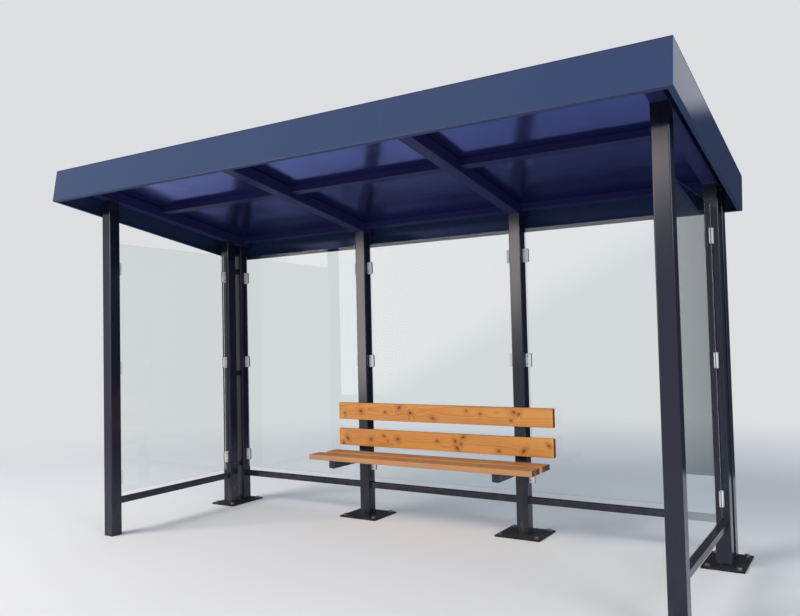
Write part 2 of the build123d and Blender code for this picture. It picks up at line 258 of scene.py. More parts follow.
def end_tree(tree, instances, finish):
    solid = place(tree, "GeometryNodeRealizeInstances", {"Geometry": instances}).outputs[0]
    painted = place(tree, "GeometryNodeSetMaterial", {"Geometry": solid, "Material": finish}).outputs[0]
    tree.links.new(painted, tree.nodes.new("NodeGroupOutput").inputs[0])


def grow(piece, tree, values):
    """Runs a geometry node tree on a piece and keeps the result as its plain mesh."""
    modifier = piece.modifiers.new(tree.name, "NODES")
    modifier.node_group = tree
    for item in tree.interface.items_tree:
        if item.in_out == "INPUT" and item.name in values:
            modifier[item.identifier] = values[item.name]
    ready = piece.evaluated_get(bpy.context.evaluated_depsgraph_get())
    mesh = bpy.data.meshes.new_from_object(ready)
    piece.modifiers.clear()
    piece.data = mesh
    return piece


def fastener_tree():
    """Puts one fastener on each point, tilted to its surface and turned at random about its own axis."""
    tree, given = geometry_tree("fasteners", {"Fastener": "Object", "Turn": "Float", "Seed": "Int",
                                              "Finish": "Material"})
    part = place(tree, "GeometryNodeObjectInfo", {"Object": given["Fastener"]}).outputs["Geometry"]
    tilt = place(tree, "GeometryNodeInputNamedAttribute", {"Name": "tilt"},
                 data_type="FLOAT_VECTOR").outputs[0]
    set_out = place(tree, "GeometryNodeInstanceOnPoints",
                    {"Points": given["Geometry"], "Instance": part, "Rotation": tilt})
    turn = place(tree, "FunctionNodeRandomValue", {3: given["Turn"], "Seed": given["Seed"]},
                 data_type="FLOAT")
    angles = place(tree, "ShaderNodeCombineXYZ", {"Z": turn.outputs[1]})
    turned_parts = place(tree, "GeometryNodeRotateInstances", {"Instances": set_out.outputs[0],
                                                               "Rotation": angles.outputs[0]})
    end_tree(tree, turned_parts.outputs[0], given["Finish"])
    return tree


fasteners = fastener_tree()


def fasten(name, part_mesh, points, finish, tilts=((0, 0, 0),), turn=0.0, seed=1):
    """One joined piece of like fasteners at the given points, tilted one by one or all alike."""
    mesh = bpy.data.meshes.new(name)
    mesh.from_pydata([tuple(point) for point in points], [], [])
    tilted = mesh.attributes.new("tilt", "FLOAT_VECTOR", "POINT")
    for step in range(len(points)):
        tilted.data[step].vector = tilts[step % len(tilts)]
    piece = show(name, mesh)
    sample = show(name + "_sample", part_mesh)
    grow(piece, fasteners, {"Fastener": sample, "Turn": turn, "Seed": seed, "Finish": finish})
    bpy.data.objects.remove(sample)
    if "tilt" in piece.data.attributes:
        piece.data.attributes.remove(piece.data.attributes["tilt"])
    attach(piece, "root")
    return piece


def zinc_group():
    """Zinc on steel: a faint spangle, dull patches and rust beginning in them."""
    tree, given, made = group(
        "zinc", {"Zinc": ("Color", (0.5, 0.5, 0.5, 1)), "Rust": ("Float", 0.2), "Spangle": ("Float", 40.0)},
        {"Color": "Color", "Roughness": "Float", "Height": "Float", "Normal": "Vector"})
    spot = here(tree)
    cells = place(tree, "ShaderNodeTexVoronoi", {"Vector": spot, "Scale": given["Spangle"]}).outputs["Color"]
    grains = place(tree, "ShaderNodeSeparateColor", [cells]).outputs[0]
    patches = noise(tree, spot, 90.0, 4.0)
    rusty = calc(tree, "MULTIPLY", fade(tree, patches, 0.52, 0.7), given["Rust"])
    shade = calc(tree, "MULTIPLY_ADD", grains, 0.18, 0.86)
    zinc = place(tree, "ShaderNodeVectorMath", {0: given["Zinc"], 3: shade}, operation="SCALE").outputs[0]
    colour = tint(tree, rusty, zinc, (0.16, 0.07, 0.03, 1))
    rough = calc(tree, "MULTIPLY_ADD", grains, 0.12, 0.34)
    rough = calc(tree, "MULTIPLY_ADD", rusty, 0.5, rough)
    rounded = place(tree, "ShaderNodeBevel", {"Radius": 0.0006}, samples=4).outputs[0]
    fill_outputs(tree, made, {"Color": colour, "Roughness": rough, "Height": patches, "Normal": rounded})
    return tree


zinc_effect = zinc_group()


def zinc_finish(name, **values):
    made, tree, principled = material(name)
    effect = place(tree, "ShaderNodeGroup", {}, node_tree=zinc_effect)
    for label, value in values.items():
        effect.inputs[label].default_value = value
    principled.inputs["Metallic"].default_value = 1.0
    dress(tree, effect, principled, 0.1, 0.0003)
    return made


bolt_zinc = zinc_finish("zinc-plated bolts", Zinc=(0.36, 0.36, 0.35, 1), Rust=0.5, Spangle=400.0)
anchor_edge = 0.030
washer = turned("washer", [
    (0.0085, 0, None), (0.016, 0, None), (0.0165, 0.0008, None), (0.0165, 0.0024, None),
    (0.016, 0.003, None), (0.0085, 0.003, None)])
bolt_head = turned("bolt_head", [
    (0.0105, 0.003, 0.012), (0.0134, 0.0045, 0.012), (0.0139, 0.006, 0.012), (0.0139, 0.011, 0.012),
    (0.0134, 0.0122, 0.012), (0.0112, 0.013, 0.012), (0.004, 0.0132, None)])
anchor = joined("anchor", washer, bolt_head)
anchor_points = []
for name in base_nodes:
    low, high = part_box(name)
    anchor_points += [(x, y, high.z) for x in (low.x + anchor_edge, high.x - anchor_edge)
                      for y in (low.y + anchor_edge, high.y - anchor_edge)]
fasten("anchors", anchor, anchor_points, bolt_zinc, turn=1.0, seed=4)

# Posts
# Square tube, 80 mm with a 3 mm wall, cut to the fall of the roof. The rear posts are welded to
# their plates, and the side frames and the rear wall meet at the corners as pairs of posts.
post_nodes = ["front_post_left", "front_post_right", "side_post_left", "side_post_right", "corner_post_left",
              "corner_post_right", "wall_post_left", "wall_post_right"]
finish_nodes(frame_coat, *post_nodes, "corner_spacers")


def weld_tree():
    """A row of overlapping ripples along each line: a hand-made fillet weld."""
    tree, given = geometry_tree("weld", {"Bead": "Float", "Pitch": "Float", "Smallest": "Float", "Seed": "Int",
                                         "Finish": "Material"})
    line = place(tree, "GeometryNodeMeshToCurve", {"Mesh": given["Geometry"]}).outputs[0]
    spots = place(tree, "GeometryNodeCurveToPoints", {"Curve": line, "Length": given["Pitch"]}, mode="LENGTH")
    ripple = place(tree, "GeometryNodeMeshUVSphere", {"Segments": 8, "Rings": 5, "Radius": given["Bead"]})
    smooth = place(tree, "GeometryNodeSetShadeSmooth", {"Geometry": ripple.outputs[0]}).outputs[0]
    size = place(tree, "FunctionNodeRandomValue", {2: given["Smallest"], 3: 1.0, "Seed": given["Seed"]},
                 data_type="FLOAT")
    bead = place(tree, "GeometryNodeInstanceOnPoints",
                 {"Points": spots.outputs["Points"], "Instance": smooth,
                  "Rotation": spots.outputs["Rotation"], "Scale": size.outputs[1]})
    end_tree(tree, bead.outputs[0], given["Finish"])
    return tree


weld = weld_tree()


def weld_loops(name, loops, bead=0.0032):
    """Welds along closed loops of corner points."""
    corners, edges = [], []
    for loop in loops:
        first = len(corners)
        corners += [tuple(point) for point in loop]
        edges += [(first + step, first + (step + 1) % len(loop)) for step in range(len(loop))]
    mesh = bpy.data.meshes.new(name)
    mesh.from_pydata(corners, edges, [])
    piece = show(name, mesh)
    ripple_pitch, smallest_share = 0.0026, 0.72
    grow(piece, weld, {"Bead": bead, "Pitch": ripple_pitch, "Smallest": smallest_share, "Seed": 7,
                       "Finish": frame_coat})
    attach(piece, "root")
    return piece


def level_loop(low, high, height, corner=0.005):
    """The outline of a square tube at one height, its corners cut."""
    outline = [(low.x + corner, low.y), (high.x - corner, low.y), (high.x, low.y + corner),
               (high.x, high.y - corner), (high.x - corner, high.y), (low.x + corner, high.y),
               (low.x, high.y - corner), (low.x, low.y + corner)]
    return [(x, y, height) for x, y in outline]


weld_loops("foot_welds", [level_loop(*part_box(name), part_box(name)[0].z) for name in post_nodes[2:]])

# Bottom rails
# Square tube, 40 mm, welded between the posts of the side frames and of the rear bays.
rail_nodes = ["side_rail_left", "side_rail_right", "rear_rails"]
finish_nodes(frame_coat, *rail_nodes)


def end_loop(axis, end, low, high):
    """The square end of a tube that runs along axis, 0 for X and 1 for Y."""
    other = 1 - axis
    loop = []
    for side, level in ((low, low), (high, low), (high, high), (low, high)):
        point = [0.0, 0.0, level.z]
        point[axis] = end
        point[other] = side[other]
        loop.append(point)
    return loop


post_gaps = [(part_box("corner_post_left")[1].x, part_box("wall_post_left")[0].x),
             (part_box("wall_post_left")[1].x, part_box("wall_post_right")[0].x),
             (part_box("wall_post_right")[1].x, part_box("corner_post_right")[0].x)]
rail_ends = [end_loop(0, x, *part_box("rear_rails")) for gap in post_gaps for x in gap]
rail_ends += [end_loop(1, y, *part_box(name)) for name in rail_nodes[:2]
              for y in (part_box(name)[0].y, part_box(name)[1].y)]
weld_loops("rail_welds", rail_ends, bead=0.0026)

# Rafters and purlins
# Rectangular tube over each post line, which falls 9 degrees to the rear, with purlins between.
# They are seen from below, and the ceiling sheets lie on them.
rafter_nodes = ["rafter_outer_left", "rafter_outer_right", "rafter_inner_left", "rafter_inner_right"]
purlin_nodes = ["roof_purlins", "side_stubs"]
roof_coat = coated("navy coat under the roof", specular=0.05, Coat=(0.017, 0.020, 0.076, 1),
                   Rubbed=rubbed_navy, Dust=street_dust, Gloss_Roughness=0.25,
                   Edge=0.003, Grime_Height=0.01, Grime=0.3, Mottle=0.3)
finish_nodes(roof_coat, *rafter_nodes, *purlin_nodes)

roof_fall = math.radians(9.0)
soffit_height = 2.159
roof_start = Vector((0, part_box("front_post_left")[0].y, soffit_height))
down_roof = Vector((0, math.cos(roof_fall), -math.sin(roof_fall)))
off_roof = Vector((0, math.sin(roof_fall), math.cos(roof_fall)))


def roof_point(x, run, rise):
    """A point by its place along the shelter, down the fall and square off the soffit."""
    return roof_start + Vector((x, 0, 0)) + run * down_roof + rise * off_roof


def on_rafter(low, high):
    """The loop where a post meets the underside of its rafter."""
    rafter_rise = 0.090
    loop = []
    for x, y, _ in level_loop(low, high, 0):
        run = (y - roof_start.y - rafter_rise * off_roof.y) / down_roof.y
        loop.append(roof_point(x, run, rafter_rise))
    return loop


weld_loops("head_welds", [on_rafter(*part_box(name)) for name in post_nodes])

# Ceiling sheets
# Pre-painted sheet, 1.5 mm, glossy and slightly wavy, in three lengths over the rafters.


def sheet_group():
    """Thin painted sheet: it bulges softly between its supports, and carries faint dust and drip marks."""
    tree, given, made = group(
        "painted sheet",
        {"Coat": ("Color", (0.03, 0.03, 0.06, 1)), "Dust": ("Color", (0.3, 0.3, 0.3, 1)),
         "Gloss Roughness": ("Float", 0.2), "Bulge": ("Float", 1.0), "Soiling": ("Float", 0.2),
         "Edge": ("Float", 0.002), "Matt Below": ("Float", 0.0)},
        {"Color": "Color", "Roughness": "Float", "Height": "Float", "Normal": "Vector"})
    spot = here(tree)
    facing = place(tree, "ShaderNodeNewGeometry", {}).outputs["True Normal"]
    up = place(tree, "ShaderNodeSeparateXYZ", [facing]).outputs["Z"]
    wide = noise(tree, spot, 1.1, 1.0, (1, 1, 0.6))
    ripple = noise(tree, spot, 5.0, 1.0, (1, 1, 0.4))
    drips = noise(tree, spot, 9.0, 5.0, (5, 3, 0.3))
    film = noise(tree, spot, 3.0, 6.0)
    level = fade(tree, up, 0.6, 0.95)
    marks = calc(tree, "MULTIPLY", fade(tree, drips, 0.45, 0.8), fade(tree, film, 0.3, 0.7, 0.0, 0.5))
    blotches = fade(tree, calc(tree, "ADD", film, calc(tree, "MULTIPLY", wide, 0.5)), 0.5, 1.1)
    soil = calc(tree, "ADD", marks, calc(tree, "MULTIPLY", calc(tree, "SUBTRACT", blotches, marks), level))
    soil = calc(tree, "MULTIPLY", soil, given["Soiling"])
    colour = tint(tree, soil, given["Coat"], given["Dust"])
    rough = calc(tree, "MULTIPLY_ADD", film, 0.1, given["Gloss Roughness"])
    rough = calc(tree, "MULTIPLY_ADD", soil, 0.5, rough)
    rough = calc(tree, "MULTIPLY_ADD", fade(tree, up, -0.5, -0.9), given["Matt Below"], rough)
    height = calc(tree, "MULTIPLY_ADD", ripple, 0.12, wide)
    height = calc(tree, "MULTIPLY", height, given["Bulge"])
    rounded = place(tree, "ShaderNodeBevel", {"Radius": given["Edge"]}, samples=4).outputs[0]
    fill_outputs(tree, made, {"Color": colour, "Roughness": rough, "Height": height, "Normal": rounded})
    return tree


sheet_effect = sheet_group()


def sheet_finish(name, specular=0.5, metallic=0.0, gloss_tint=(1, 1, 1, 1), **values):
    made, tree, principled = material(name)
    effect = place(tree, "ShaderNodeGroup", {}, node_tree=sheet_effect)
    for label, value in values.items():
        effect.inputs[label.replace("_", " ")].default_value = value
    principled.inputs["Specular IOR Level"].default_value = specular
    principled.inputs["Metallic"].default_value = metallic
    principled.inputs["Specular Tint"].default_value = gloss_tint
    dress(tree, effect, principled, 0.5, 0.02)
    return made


ceiling_coat = sheet_finish("glossy ceiling sheet", metallic=0.93, gloss_tint=(0.75, 0.8, 1.0, 1),
                            Coat=(0.090, 0.112, 0.37, 1), Dust=(0.17, 0.15, 0.2, 1),
                            Gloss_Roughness=0.11, Bulge=1.0, Soiling=0.12)
finish_nodes(ceiling_coat, "ceiling_sheets")

# Battens and roof cover
# Galvanised battens carry three cover sheets, whose upturned edges are closed by folded caps.
# Zinc-plated screws with washers go through the cover into the battens.
batten_zinc = zinc_finish("galvanised battens", Zinc=(0.55, 0.57, 0.58, 1), Rust=0.1, Spangle=60.0)
finish_nodes(batten_zinc, "roof_battens")
cover_coat = sheet_finish("painted roof sheet", specular=0.35, Coat=(0.032, 0.048, 0.12, 1),
                          Dust=(0.20, 0.19, 0.18, 1), Gloss_Roughness=0.32, Bulge=0.6, Soiling=0.35)
finish_nodes(cover_coat, "roof_cover", "cover_caps")
cover_rise = 0.2075
batten_runs = (-0.256, 0.44, 1.327)
roofing_screw_pitch = 0.29
first_screw = 0.06
clear_of_cap = 0.03
screw_washer = turned("screw_washer", [
    (0.002, 0, None), (0.008, 0, None), (0.0082, 0.0012, None), (0.0072, 0.0024, None),
    (0.002, 0.0026, None)])
screw_head = turned("screw_head", [
    (0.002, 0.002, None), (0.0052, 0.002, None), (0.0055, 0.003, None), (0.0046, 0.0034, 0.004),
    (0.0046, 0.0068, 0.004), (0.0040, 0.0074, 0.004), (0.001, 0.0076, None)])
roofing_screw = joined("roofing_screw", screw_washer, screw_head)
cover_low, cover_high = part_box("roof_cover")
cap_low, cap_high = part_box("cover_caps")
screw_span = cover_high.x - cover_low.x - 2 * first_screw
steps = round(screw_span / roofing_screw_pitch)
roofing_points = []
for run in batten_runs:
    for step in range(steps + 1):
        x = cover_low.x + first_screw + screw_span * step / steps
        if min(abs(x - cap_low.x), abs(x - cap_high.x)) > clear_of_cap:
            roofing_points.append(roof_point(x, run, cover_rise))
fasten("roofing_screws", roofing_screw, roofing_points, bolt_zinc, [(-roof_fall, 0, 0)],
       turn=6.0)

# Fascias
# Folded 2 mm sheet around the roof box, mitred at its corners. The front one stands square to the
# slope, and the rear one is in two lengths.
fascia_nodes = ["fascia_front", "fascia_left", "fascia_right", "fascia_rear_left", "fascia_rear_right"]
fascia_coat = sheet_finish("navy fascia sheet", specular=0.35, Coat=(0.023, 0.041, 0.106, 1),
                           Dust=(0.20, 0.20, 0.22, 1), Gloss_Roughness=0.08, Bulge=0.35, Soiling=0.05,
                           Edge=0.0008, Matt_Below=0.6)
finish_nodes(fascia_coat, *fascia_nodes)

# Glass
# Toughened panes, 8 mm, with ground edges: one in each side and three in the rear wall.


def glass_group():
    """Toughened glass: clear faces with wiped marks, and greener, ground edges."""
    tree, given, made = group(
        "glass",
        {"Face": ("Color", (0.91, 0.94, 0.93, 1)), "Rim": ("Color", (0.42, 0.66, 0.58, 1)),
         "Across": ("Vector", (0, 1, 0)), "Smears": ("Float", 0.04), "Wave": ("Float", 1.0)},
        {"Color": "Color", "Roughness": "Float", "Height": "Float"})
    spot = here(tree)
    facing = place(tree, "ShaderNodeTexCoord", {}).outputs["Normal"]
    rim = calc(tree, "SUBTRACT", 1.0, calc(tree, "ABSOLUTE", dot(tree, facing, given["Across"])))
    smears = noise(tree, spot, 3.0, 7.0, (1, 1, 2.2))
    colour = tint(tree, rim, given["Face"], given["Rim"])
    rough = calc(tree, "MULTIPLY", fade(tree, smears, 0.45, 0.75), given["Smears"])
    rough = calc(tree, "MULTIPLY_ADD", rim, 0.35, rough)
    wave = calc(tree, "MULTIPLY", noise(tree, spot, 1.6, 1.0), given["Wave"])
    wave = calc(tree, "MULTIPLY", wave, calc(tree, "SUBTRACT", 1.0, rim))
    fill_outputs(tree, made, {"Color": colour, "Roughness": rough, "Height": wave})
    return tree


glass_effect = glass_group()


def pane_finish(name, across):
    made, tree, principled = material(name)
    effect = place(tree, "ShaderNodeGroup", {"Across": across}, node_tree=glass_effect)
    dress(tree, effect, principled, 0.15, 0.004)
    principled.inputs["Transmission Weight"].default_value = 1.0
    principled.inputs["IOR"].default_value = 1.5
    principled.inputs["Specular Tint"].default_value = (0.4, 0.4, 0.42, 1)
    clear = place(tree, "ShaderNodeBsdfTransparent", {"Color": (0.86, 0.92, 0.90, 1)})
    path = place(tree, "ShaderNodeLightPath", {})
    mixed = place(tree, "ShaderNodeMixShader", {0: path.outputs["Is Shadow Ray"], 1: principled.outputs[0],
                                                2: clear.outputs[0]})
    tree.links.new(mixed.outputs[0], tree.nodes["Material Output"].inputs["Surface"])
    return made


finish_nodes(pane_finish("side glass", (1, 0, 0)), "side_glass_left", "side_glass_right")
finish_nodes(pane_finish("rear glass", (0, 1, 0)), "rear_glass_left", "rear_glass_mid", "rear_glass_right")

# Glass clamps
# Die-cast blocks on the posts, three at each upright edge of a pane, painted light grey. Each is
# drawn shut by two socket screws on its inner face, and holds the glass between rubber gaskets.
clamp_coat = coated("light grey clamps", specular=0.5, Coat=(0.76, 0.76, 0.78, 1),
                    Rubbed=(0.8, 0.8, 0.8, 1), Dust=street_dust, Gloss_Roughness=0.32, Edge=0.0015,
                    Grime_Height=0.3, Grime=0.3, Mottle=0.25)
finish_nodes(clamp_coat, "side_clamps_left", "side_clamps_right", "rear_clamps")


def rubber_finish():
    """Black rubber, greyed by weather in patches."""
    made, tree, principled = material("rubber gasket")
    spot = here(tree)
    bloom = noise(tree, spot, 45.0, 4.0)
    tree.links.new(tint(tree, bloom, (0.010, 0.010, 0.011, 1), (0.035, 0.035, 0.036, 1)),
                   principled.inputs["Base Color"])
    tree.links.new(fade(tree, bloom, 0.3, 0.7, 0.55, 0.75), principled.inputs["Roughness"])
    skin = noise(tree, spot, 900.0, 2.0)
    bump = place(tree, "ShaderNodeBump", {"Strength": 0.2, "Distance": 0.0002, "Height": skin})
    tree.links.new(bump.outputs[0], principled.inputs["Normal"])
    return made


def gasket_pair():
    """Two gaskets of one clamp, drawn along X from the post: each fills its seat and lips out at the nose."""
    profile = [(20.8, 4.05), (35.2, 4.05), (35.6, 4.6), (35.3, 5.4), (34.7, 5.7), (34.1, 5.5), (34.05, 4.38),
               (31.0, 4.38), (30.9, 6.3), (20.8, 6.3)]
    half_height = 0.0422
    shape = bmesh.new()
    for side in (1, -1):
        ends = [[shape.verts.new((x / 1000, side * y / 1000, z)) for x, y in profile]
                for z in (-half_height, half_height)]
        for step in range(len(profile)):
            after = (step + 1) % len(profile)
            shape.faces.new((ends[0][step], ends[0][after], ends[1][after], ends[1][step]))
        shape.faces.new(ends[0])
        shape.faces.new(ends[1])
    bmesh.ops.recalc_face_normals(shape, faces=shape.faces)
    mesh = bpy.data.meshes.new("gasket_pair")
    shape.to_mesh(mesh)
    shape.free()
    return mesh


clamp_levels = (0.370, 1.110, 1.785)
clamp_half = 0.0125
screw_off_post = 0.0095
screw_spread = 0.024
rear_pane_y = 0.010
side_pane_x = (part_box("side_glass_right")[0].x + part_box("side_glass_right")[1].x) / 2
clamp_feet = [(Vector((gap[side], rear_pane_y, 0)), side * math.pi, Vector((0, -1, 0)))
              for gap in post_gaps for side in (0, 1)]
for side, hand in ((-1, "left"), (1, "right")):
    inward = Vector((-side, 0, 0))
    clamp_feet += [(Vector((side * side_pane_x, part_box("front_post_" + hand)[1].y, 0)), math.pi / 2, inward),
                   (Vector((side * side_pane_x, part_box("side_post_" + hand)[0].y, 0)), -math.pi / 2, inward)]
gasket_points, gasket_turns, clamp_screw_points, clamp_screw_tilts = [], [], [], []
for foot, heading, inward in clamp_feet:
    for level in clamp_levels:
        gasket_points.append(foot + Vector((0, 0, level)))
        gasket_turns.append((0, 0, heading))
        out = Vector((math.cos(heading), math.sin(heading), 0))
        for rise in (-screw_spread, screw_spread):
            clamp_screw_points.append(foot + screw_off_post * out + clamp_half * inward
                                      + Vector((0, 0, level + rise)))
            clamp_screw_tilts.append(inward.to_track_quat("Z", "Y").to_euler()[:])
fasten("gaskets", gasket_pair(), gasket_points, rubber_finish(), gasket_turns)
socket_screw = turned("socket_screw", [
    (0.0045, -0.0005, None), (0.0046, 0.0002, None), (0.0043, 0.0012, None), (0.0034, 0.0019, None),
    (0.0024, 0.0020, 0.0020), (0.0023, 0.0008, 0.0019)], sides=18)
fasten("clamp_screws", socket_screw, clamp_screw_points, bolt_zinc, clamp_screw_tilts,
       turn=6.0, seed=3)

# Bench arms
# Square tube, 50 mm, closed at the front and welded to the wall posts.
arm_nodes = ["bench_arm_left", "bench_arm_right"]
finish_nodes(frame_coat, *arm_nodes)
weld_loops("arm_welds", [end_loop(1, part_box(name)[1].y, *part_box(name)) for name in arm_nodes], bead=0.003)

# Bench boards
# Planed pine, 120 by 35 mm, with rounded edges, stained orange. Two form the seat, two the back.
# They are screwed from behind the posts and from under the arms, so no heads show on the boards.


def knot_group():
    """One knot through a board, added to those before it: its dark heart and the grain's swerve round it."""
    tree, given, made = group(
        "knot",
        {"Spot": ("Vector", (0, 0, 0)), "Centre": ("Vector", (0, 0, 0)), "Along": ("Vector", (1, 0, 0)),
         "Up": ("Vector", (0, 0, 1)), "Size": ("Float", 0.01), "Heart": ("Float", 0.0),
         "Swerve": ("Float", 0.0)},
        {"Heart": "Float", "Swerve": "Float"})
    offset = place(tree, "ShaderNodeVectorMath", [given["Spot"], given["Centre"]],
                   operation="SUBTRACT").outputs[0]
    sideways, upward = dot(tree, offset, given["Along"]), dot(tree, offset, given["Up"])
    away = calc(tree, "SQRT", calc(tree, "ADD", calc(tree, "MULTIPLY", sideways, sideways),
                                   calc(tree, "MULTIPLY", upward, upward)))
    share = calc(tree, "DIVIDE", away, given["Size"])
    heart = calc(tree, "MAXIMUM", given["Heart"], fade(tree, share, 1.1, 0.45))
    swerve = calc(tree, "MAXIMUM", given["Swerve"], fade(tree, share, 4.9, 0.3))
    fill_outputs(tree, made, {"Heart": heart, "Swerve": swerve})
    return tree


def pine_group():
    """Pine along X: rings around a pith beside the board, swerving at knots, and end faces darkened for end
    grain and painted shade.
    """
    tree, given, made = group(
        "stained pine",
        {"Early Wood": ("Color", (0.64, 0.28, 0.068, 1)), "Late Wood": ("Color", (0.44, 0.155, 0.032, 1)),
         "Knot": ("Color", (0.11, 0.033, 0.010, 1)), "End Grain And Shade": ("Color", (0.030, 0.013, 0.008, 1)),
         "Pith Y": ("Float", 0.0), "Pith Z": ("Float", 0.0), "Ring": ("Float", 0.006),
         "Shift": ("Float", 0.0),
         "Weathering": ("Float", 0.2), "Heart": ("Float", 0.0), "Swerve": ("Float", 0.0)},
        {"Color": "Color", "Roughness": "Float", "Height": "Float"})
    spot = here(tree)
    facing = place(tree, "ShaderNodeTexCoord", {}).outputs["Normal"]
    shift = place(tree, "ShaderNodeCombineXYZ", [given["Shift"]] * 3)
    moved = place(tree, "ShaderNodeVectorMath", [spot, shift.outputs[0]], operation="ADD").outputs[0]
    axes = place(tree, "ShaderNodeSeparateXYZ", [spot]).outputs
    drift_y = calc(tree, "SUBTRACT", noise(tree, moved, 1.4, 2.0, (0.8, 1, 1)), 0.5)
    drift_z = calc(tree, "SUBTRACT", noise(tree, moved, 1.7, 2.0, (0.7, 1, 1)), 0.5)
    side = calc(tree, "MULTIPLY_ADD", drift_y, 0.05, calc(tree, "SUBTRACT", axes["Y"], given["Pith Y"]))
    rise = calc(tree, "MULTIPLY_ADD", drift_z, 0.05, calc(tree, "SUBTRACT", axes["Z"], given["Pith Z"]))
    radius = calc(tree, "SQRT", calc(tree, "ADD", calc(tree, "POWER", side, 2.0),
                                     calc(tree, "POWER", rise, 2.0)))
    radius = calc(tree, "MULTIPLY_ADD", given["Swerve"], 0.012, radius)
    ring = calc(tree, "FRACT", calc(tree, "DIVIDE", radius, given["Ring"]))
    late = calc(tree, "MULTIPLY", calc(tree, "POWER", ring, 2.4), fade(tree, ring, 1.0, 0.92))
    fibre = noise(tree, moved, 1.0, 3.0, (14, 420, 420))
    tone = noise(tree, moved, 3.2, 3.0, (0.5, 2.4, 2.4))
    share = calc(tree, "MULTIPLY_ADD", calc(tree, "SUBTRACT", fibre, 0.5), 0.5,
                 calc(tree, "MULTIPLY", late, 0.85))
    share = calc(tree, "ADD", share, calc(tree, "MULTIPLY", calc(tree, "SUBTRACT", tone, 0.5), 1.3))
    colour = tint(tree, share, given["Early Wood"], given["Late Wood"])
    halo = calc(tree, "MULTIPLY", calc(tree, "MULTIPLY", given["Swerve"], given["Swerve"]), 0.85)
    colour = tint(tree, halo, colour, (0.36, 0.115, 0.022, 1))
    colour = tint(tree, calc(tree, "MULTIPLY", given["Heart"], 0.92), colour, given["Knot"])
    # End faces are darkened: partly the real end grain, partly painted shade where the board ends lie in
    # shadow.
    end = calc(tree, "ABSOLUTE", place(tree, "ShaderNodeSeparateXYZ", [facing]).outputs["X"])
    colour = tint(tree, fade(tree, end, 0.5, 0.95, 0.0, 0.9), colour, given["End Grain And Shade"])
    worn = calc(tree, "MULTIPLY", fade(tree, noise(tree, moved, 6.0, 6.0, (0.25, 5, 5)), 0.4, 0.7),
                given["Weathering"])
    colour = tint(tree, worn, colour, (0.30, 0.19, 0.13, 1))
    rough = calc(tree, "MULTIPLY_ADD", late, -0.1, 0.46)
    rough = calc(tree, "MULTIPLY_ADD", worn, 0.25, rough)
    height = calc(tree, "MULTIPLY_ADD", fibre, 0.5, calc(tree, "MULTIPLY", late, 0.6))
    height = calc(tree, "MULTIPLY_ADD", given["Heart"], -0.5, height)
    fill_outputs(tree, made, {"Color": colour, "Roughness": rough, "Height": height})
    return tree


knot_effect = knot_group()
pine_effect = pine_group()


def pine(name, knots, upward, **values):
    """Pine with its own knots, each with its place along and across the board, size, width and lean."""
    made, tree, principled = material(name)
    effect = place(tree, "ShaderNodeGroup", {}, node_tree=pine_effect)
    for label, value in values.items():
        effect.inputs[label.replace("_", " ")].default_value = value
    spot = here(tree)
    ragged = place(tree, "ShaderNodeTexNoise", {"Vector": spot, "Scale": 70.0,
                                                "Detail": 2.0}).outputs["Color"]
    spot = place(tree, "ShaderNodeVectorMath", {0: ragged, 1: (0.006, 0.006, 0.006), 2: spot},
                 operation="MULTIPLY_ADD").outputs[0]
    before = None
    for along, across, size, width, lean in knots:
        centre = Vector((along, 0, 0)) + across * upward + Vector((0.003, 0.003, 0.003))
        knot = place(tree, "ShaderNodeGroup", {"Spot": spot, "Centre": centre, "Size": 1.15 * size,
                                               "Along": Vector((1 / width, 0, 0)) + lean * upward,
                                               "Up": upward}, node_tree=knot_effect)
        if before is not None:
            tree.links.new(before.outputs["Heart"], knot.inputs["Heart"])
            tree.links.new(before.outputs["Swerve"], knot.inputs["Swerve"])
        before = knot
    tree.links.new(before.outputs["Heart"], effect.inputs["Heart"])
    tree.links.new(before.outputs["Swerve"], effect.inputs["Swerve"])
    dress(tree, effect, principled, 0.35, 0.0006)
    principled.inputs["Specular IOR Level"].default_value = 0.3
    return made


